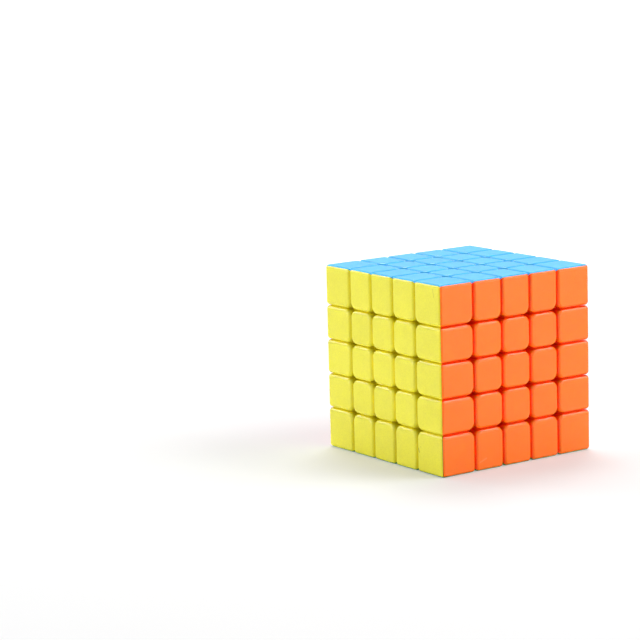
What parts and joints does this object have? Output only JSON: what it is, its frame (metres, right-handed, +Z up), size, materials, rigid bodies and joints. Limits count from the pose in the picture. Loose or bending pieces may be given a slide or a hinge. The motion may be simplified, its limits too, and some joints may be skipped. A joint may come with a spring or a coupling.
{
  "type": "twisty puzzle cube",
  "caption": "Stickerless cube puzzle whose coloured layers turn about three crossing axes on a spring-tensioned core.",
  "frame": {"origin": "centre of the cube, where the three turning axes cross", "axes": "+Z up out of the blue face, +X out of the orange face, -Y out of the yellow face"},
  "size_m": [0.062, 0.062, 0.062],
  "materials": {
    "blue_plastic": "frosted moulded plastic",
    "green_plastic": "frosted moulded plastic",
    "yellow_plastic": "frosted moulded plastic",
    "white_plastic": "frosted moulded plastic",
    "orange_plastic": "frosted moulded plastic",
    "red_plastic": "frosted moulded plastic",
    "core_plastic": "plain moulded nylon",
    "screw_steel": "zinc plated",
    "spring_steel": "drawn wire",
    "washer_steel": "stamped sheet"
  },
  "bodies": {
    "core": {"core": "core_plastic", "centre_screws": "screw_steel", "centre_springs": "spring_steel", "centre_washers": "washer_steel"},
    "up_face": {"up_fixed_centre": "blue_plastic", "up_cross_centres": "blue_plastic", "up_diagonal_centres": "blue_plastic"},
    "down_face": {"down_fixed_centre": "green_plastic", "down_cross_centres": "green_plastic", "down_diagonal_centres": "green_plastic"},
    "upper_slice": {"upper_slice_washer": "washer_steel"},
    "lower_slice": {"lower_slice_washer": "washer_steel"},
    "right_middle_row": {"right_middle_centres": "orange_plastic"},
    "left_middle_row": {"left_middle_centres": "red_plastic"},
    "front_middle_row": {"front_middle_centres": "yellow_plastic"},
    "back_middle_row": {"back_middle_centres": "white_plastic"},
    "up_right_row": {"up_right_edge": "blue_plastic", "up_right_wings": "blue_plastic"},
    "up_left_row": {"up_left_edge": "blue_plastic", "up_left_wings": "blue_plastic"},
    "up_front_row": {"up_front_edge": "blue_plastic", "up_front_wings": "blue_plastic"},
    "up_back_row": {"up_back_edge": "blue_plastic", "up_back_wings": "blue_plastic"},
    "down_right_row": {"down_right_edge": "green_plastic", "down_right_wings": "green_plastic"},
    "down_left_row": {"down_left_edge": "green_plastic", "down_left_wings": "green_plastic"},
    "down_front_row": {"down_front_edge": "green_plastic", "down_front_wings": "green_plastic"},
    "down_back_row": {"down_back_edge": "green_plastic", "down_back_wings": "green_plastic"},
    "front_right_edge": {"front_right_edge": "yellow_plastic"},
    "front_right_upper_wing": {"front_right_upper_wing": "yellow_plastic"},
    "front_right_lower_wing": {"front_right_lower_wing": "yellow_plastic"},
    "front_left_edge": {"front_left_edge": "yellow_plastic"},
    "front_left_upper_wing": {"front_left_upper_wing": "yellow_plastic"},
    "front_left_lower_wing": {"front_left_lower_wing": "yellow_plastic"},
    "back_right_edge": {"back_right_edge": "white_plastic"},
    "back_right_upper_wing": {"back_right_upper_wing": "white_plastic"},
    "back_right_lower_wing": {"back_right_lower_wing": "white_plastic"},
    "back_left_edge": {"back_left_edge": "white_plastic"},
    "back_left_upper_wing": {"back_left_upper_wing": "white_plastic"},
    "back_left_lower_wing": {"back_left_lower_wing": "white_plastic"},
    "right_upper_row": {"right_upper_centres": "orange_plastic"},
    "left_upper_row": {"left_upper_centres": "red_plastic"},
    "front_upper_row": {"front_upper_centres": "yellow_plastic"},
    "back_upper_row": {"back_upper_centres": "white_plastic"},
    "right_lower_row": {"right_lower_centres": "orange_plastic"},
    "left_lower_row": {"left_lower_centres": "red_plastic"},
    "front_lower_row": {"front_lower_centres": "yellow_plastic"},
    "back_lower_row": {"back_lower_centres": "white_plastic"},
    "up_front_right_corner": {"up_front_right_corner": "blue_plastic"},
    "up_front_left_corner": {"up_front_left_corner": "blue_plastic"},
    "up_back_right_corner": {"up_back_right_corner": "blue_plastic"},
    "up_back_left_corner": {"up_back_left_corner": "blue_plastic"},
    "down_front_right_corner": {"down_front_right_corner": "green_plastic"},
    "down_front_left_corner": {"down_front_left_corner": "green_plastic"},
    "down_back_right_corner": {"down_back_right_corner": "green_plastic"},
    "down_back_left_corner": {"down_back_left_corner": "green_plastic"}
  },
  "joints": [
    {"name": "up_turn", "type": "hinge", "parent": "core", "child": "up_face", "pos_m": [0, 0, 0], "axis": [0, 0, 1], "continuous": true},
    {"name": "down_turn", "type": "hinge", "parent": "core", "child": "down_face", "pos_m": [0, 0, 0], "axis": [0, 0, 1], "continuous": true},
    {"name": "upper_slice_turn", "type": "hinge", "parent": "core", "child": "upper_slice", "pos_m": [0, 0, 0], "axis": [0, 0, 1], "continuous": true},
    {"name": "lower_slice_turn", "type": "hinge", "parent": "core", "child": "lower_slice", "pos_m": [0, 0, 0], "axis": [0, 0, 1], "continuous": true},
    {"name": "right_turn", "type": "hinge", "parent": "core", "child": "right_middle_row", "pos_m": [0, 0, 0], "axis": [1, 0, 0], "continuous": true},
    {"name": "left_turn", "type": "hinge", "parent": "core", "child": "left_middle_row", "pos_m": [0, 0, 0], "axis": [1, 0, 0], "continuous": true},
    {"name": "front_turn", "type": "hinge", "parent": "core", "child": "front_middle_row", "pos_m": [0, 0, 0], "axis": [0, 1, 0], "continuous": true},
    {"name": "back_turn", "type": "hinge", "parent": "core", "child": "back_middle_row", "pos_m": [0, 0, 0], "axis": [0, 1, 0], "continuous": true},
    {"name": "up_right_row_turn", "type": "hinge", "parent": "up_face", "child": "up_right_row", "pos_m": [0, 0, 0], "axis": [1, 0, 0], "continuous": true},
    {"name": "up_left_row_turn", "type": "hinge", "parent": "up_face", "child": "up_left_row", "pos_m": [0, 0, 0], "axis": [1, 0, 0], "continuous": true},
    {"name": "up_front_row_turn", "type": "hinge", "parent": "front_middle_row", "child": "up_front_row", "pos_m": [0, 0, 0], "axis": [0, 0, 1], "continuous": true},
    {"name": "up_back_row_turn", "type": "hinge", "parent": "back_middle_row", "child": "up_back_row", "pos_m": [0, 0, 0], "axis": [0, 0, 1], "continuous": true},
    {"name": "down_right_row_turn", "type": "hinge", "parent": "down_face", "child": "down_right_row", "pos_m": [0, 0, 0], "axis": [1, 0, 0], "continuous": true},
    {"name": "down_left_row_turn", "type": "hinge", "parent": "down_face", "child": "down_left_row", "pos_m": [0, 0, 0], "axis": [1, 0, 0], "continuous": true},
    {"name": "down_front_row_turn", "type": "hinge", "parent": "front_middle_row", "child": "down_front_row", "pos_m": [0, 0, 0], "axis": [0, 0, 1], "continuous": true},
    {"name": "down_back_row_turn", "type": "hinge", "parent": "back_middle_row", "child": "down_back_row", "pos_m": [0, 0, 0], "axis": [0, 0, 1], "continuous": true},
    {"name": "front_right_edge_turn", "type": "hinge", "parent": "right_middle_row", "child": "front_right_edge", "pos_m": [0, 0, 0], "axis": [0, 1, 0], "continuous": true},
    {"name": "front_right_upper_wing_turn", "type": "hinge", "parent": "front_right_edge", "child": "front_right_upper_wing", "pos_m": [0, 0, 0], "axis": [0, 0, 1], "continuous": true},
    {"name": "front_right_lower_wing_turn", "type": "hinge", "parent": "front_right_edge", "child": "front_right_lower_wing", "pos_m": [0, 0, 0], "axis": [0, 0, 1], "continuous": true},
    {"name": "front_left_edge_turn", "type": "hinge", "parent": "left_middle_row", "child": "front_left_edge", "pos_m": [0, 0, 0], "axis": [0, 1, 0], "continuous": true},
    {"name": "front_left_upper_wing_turn", "type": "hinge", "parent": "front_left_edge", "child": "front_left_upper_wing", "pos_m": [0, 0, 0], "axis": [0, 0, 1], "continuous": true},
    {"name": "front_left_lower_wing_turn", "type": "hinge", "parent": "front_left_edge", "child": "front_left_lower_wing", "pos_m": [0, 0, 0], "axis": [0, 0, 1], "continuous": true},
    {"name": "back_right_edge_turn", "type": "hinge", "parent": "right_middle_row", "child": "back_right_edge", "pos_m": [0, 0, 0], "axis": [0, 1, 0], "continuous": true},
    {"name": "back_right_upper_wing_turn", "type": "hinge", "parent": "back_right_edge", "child": "back_right_upper_wing", "pos_m": [0, 0, 0], "axis": [0, 0, 1], "continuous": true},
    {"name": "back_right_lower_wing_turn", "type": "hinge", "parent": "back_right_edge", "child": "back_right_lower_wing", "pos_m": [0, 0, 0], "axis": [0, 0, 1], "continuous": true},
    {"name": "back_left_edge_turn", "type": "hinge", "parent": "left_middle_row", "child": "back_left_edge", "pos_m": [0, 0, 0], "axis": [0, 1, 0], "continuous": true},
    {"name": "back_left_upper_wing_turn", "type": "hinge", "parent": "back_left_edge", "child": "back_left_upper_wing", "pos_m": [0, 0, 0], "axis": [0, 0, 1], "continuous": true},
    {"name": "back_left_lower_wing_turn", "type": "hinge", "parent": "back_left_edge", "child": "back_left_lower_wing", "pos_m": [0, 0, 0], "axis": [0, 0, 1], "continuous": true},
    {"name": "right_upper_row_turn", "type": "hinge", "parent": "upper_slice", "child": "right_upper_row", "pos_m": [0, 0, 0], "axis": [1, 0, 0], "continuous": true},
    {"name": "left_upper_row_turn", "type": "hinge", "parent": "upper_slice", "child": "left_upper_row", "pos_m": [0, 0, 0], "axis": [1, 0, 0], "continuous": true},
    {"name": "front_upper_row_turn", "type": "hinge", "parent": "upper_slice", "child": "front_upper_row", "pos_m": [0, 0, 0], "axis": [0, 1, 0], "continuous": true},
    {"name": "back_upper_row_turn", "type": "hinge", "parent": "upper_slice", "child": "back_upper_row", "pos_m": [0, 0, 0], "axis": [0, 1, 0], "continuous": true},
    {"name": "right_lower_row_turn", "type": "hinge", "parent": "lower_slice", "child": "right_lower_row", "pos_m": [0, 0, 0], "axis": [1, 0, 0], "continuous": true},
    {"name": "left_lower_row_turn", "type": "hinge", "parent": "lower_slice", "child": "left_lower_row", "pos_m": [0, 0, 0], "axis": [1, 0, 0], "continuous": true},
    {"name": "front_lower_row_turn", "type": "hinge", "parent": "lower_slice", "child": "front_lower_row", "pos_m": [0, 0, 0], "axis": [0, 1, 0], "continuous": true},
    {"name": "back_lower_row_turn", "type": "hinge", "parent": "lower_slice", "child": "back_lower_row", "pos_m": [0, 0, 0], "axis": [0, 1, 0], "continuous": true},
    {"name": "up_front_right_corner_turn", "type": "hinge", "parent": "up_right_row", "child": "up_front_right_corner", "pos_m": [0, 0, 0], "axis": [0, 1, 0], "continuous": true},
    {"name": "up_front_left_corner_turn", "type": "hinge", "parent": "up_left_row", "child": "up_front_left_corner", "pos_m": [0, 0, 0], "axis": [0, 1, 0], "continuous": true},
    {"name": "up_back_right_corner_turn", "type": "hinge", "parent": "up_right_row", "child": "up_back_right_corner", "pos_m": [0, 0, 0], "axis": [0, 1, 0], "continuous": true},
    {"name": "up_back_left_corner_turn", "type": "hinge", "parent": "up_left_row", "child": "up_back_left_corner", "pos_m": [0, 0, 0], "axis": [0, 1, 0], "continuous": true},
    {"name": "down_front_right_corner_turn", "type": "hinge", "parent": "down_right_row", "child": "down_front_right_corner", "pos_m": [0, 0, 0], "axis": [0, 1, 0], "continuous": true},
    {"name": "down_front_left_corner_turn", "type": "hinge", "parent": "down_left_row", "child": "down_front_left_corner", "pos_m": [0, 0, 0], "axis": [0, 1, 0], "continuous": true},
    {"name": "down_back_right_corner_turn", "type": "hinge", "parent": "down_right_row", "child": "down_back_right_corner", "pos_m": [0, 0, 0], "axis": [0, 1, 0], "continuous": true},
    {"name": "down_back_left_corner_turn", "type": "hinge", "parent": "down_left_row", "child": "down_back_left_corner", "pos_m": [0, 0, 0], "axis": [0, 1, 0], "continuous": true}
  ],
  "couplings": [
    {"joint": "up_right_row_turn", "follows": "right_turn", "ratio": 1},
    {"joint": "up_left_row_turn", "follows": "left_turn", "ratio": 1},
    {"joint": "up_front_row_turn", "follows": "up_turn", "ratio": 1},
    {"joint": "up_back_row_turn", "follows": "up_turn", "ratio": 1},
    {"joint": "down_right_row_turn", "follows": "right_turn", "ratio": 1},
    {"joint": "down_left_row_turn", "follows": "left_turn", "ratio": 1},
    {"joint": "down_front_row_turn", "follows": "down_turn", "ratio": 1},
    {"joint": "down_back_row_turn", "follows": "down_turn", "ratio": 1},
    {"joint": "front_right_edge_turn", "follows": "front_turn", "ratio": 1},
    {"joint": "front_right_upper_wing_turn", "follows": "upper_slice_turn", "ratio": 1},
    {"joint": "front_right_lower_wing_turn", "follows": "lower_slice_turn", "ratio": 1},
    {"joint": "front_left_edge_turn", "follows": "front_turn", "ratio": 1},
    {"joint": "front_left_upper_wing_turn", "follows": "upper_slice_turn", "ratio": 1},
    {"joint": "front_left_lower_wing_turn", "follows": "lower_slice_turn", "ratio": 1},
    {"joint": "back_right_edge_turn", "follows": "back_turn", "ratio": 1},
    {"joint": "back_right_upper_wing_turn", "follows": "upper_slice_turn", "ratio": 1},
    {"joint": "back_right_lower_wing_turn", "follows": "lower_slice_turn", "ratio": 1},
    {"joint": "back_left_edge_turn", "follows": "back_turn", "ratio": 1},
    {"joint": "back_left_upper_wing_turn", "follows": "upper_slice_turn", "ratio": 1},
    {"joint": "back_left_lower_wing_turn", "follows": "lower_slice_turn", "ratio": 1},
    {"joint": "right_upper_row_turn", "follows": "right_turn", "ratio": 1},
    {"joint": "left_upper_row_turn", "follows": "left_turn", "ratio": 1},
    {"joint": "front_upper_row_turn", "follows": "front_turn", "ratio": 1},
    {"joint": "back_upper_row_turn", "follows": "back_turn", "ratio": 1},
    {"joint": "right_lower_row_turn", "follows": "right_turn", "ratio": 1},
    {"joint": "left_lower_row_turn", "follows": "left_turn", "ratio": 1},
    {"joint": "front_lower_row_turn", "follows": "front_turn", "ratio": 1},
    {"joint": "back_lower_row_turn", "follows": "back_turn", "ratio": 1},
    {"joint": "up_front_right_corner_turn", "follows": "front_turn", "ratio": 1},
    {"joint": "up_front_left_corner_turn", "follows": "front_turn", "ratio": 1},
    {"joint": "up_back_right_corner_turn", "follows": "back_turn", "ratio": 1},
    {"joint": "up_back_left_corner_turn", "follows": "back_turn", "ratio": 1},
    {"joint": "down_front_right_corner_turn", "follows": "front_turn", "ratio": 1},
    {"joint": "down_front_left_corner_turn", "follows": "front_turn", "ratio": 1},
    {"joint": "down_back_right_corner_turn", "follows": "back_turn", "ratio": 1},
    {"joint": "down_back_left_corner_turn", "follows": "back_turn", "ratio": 1}
  ]
}
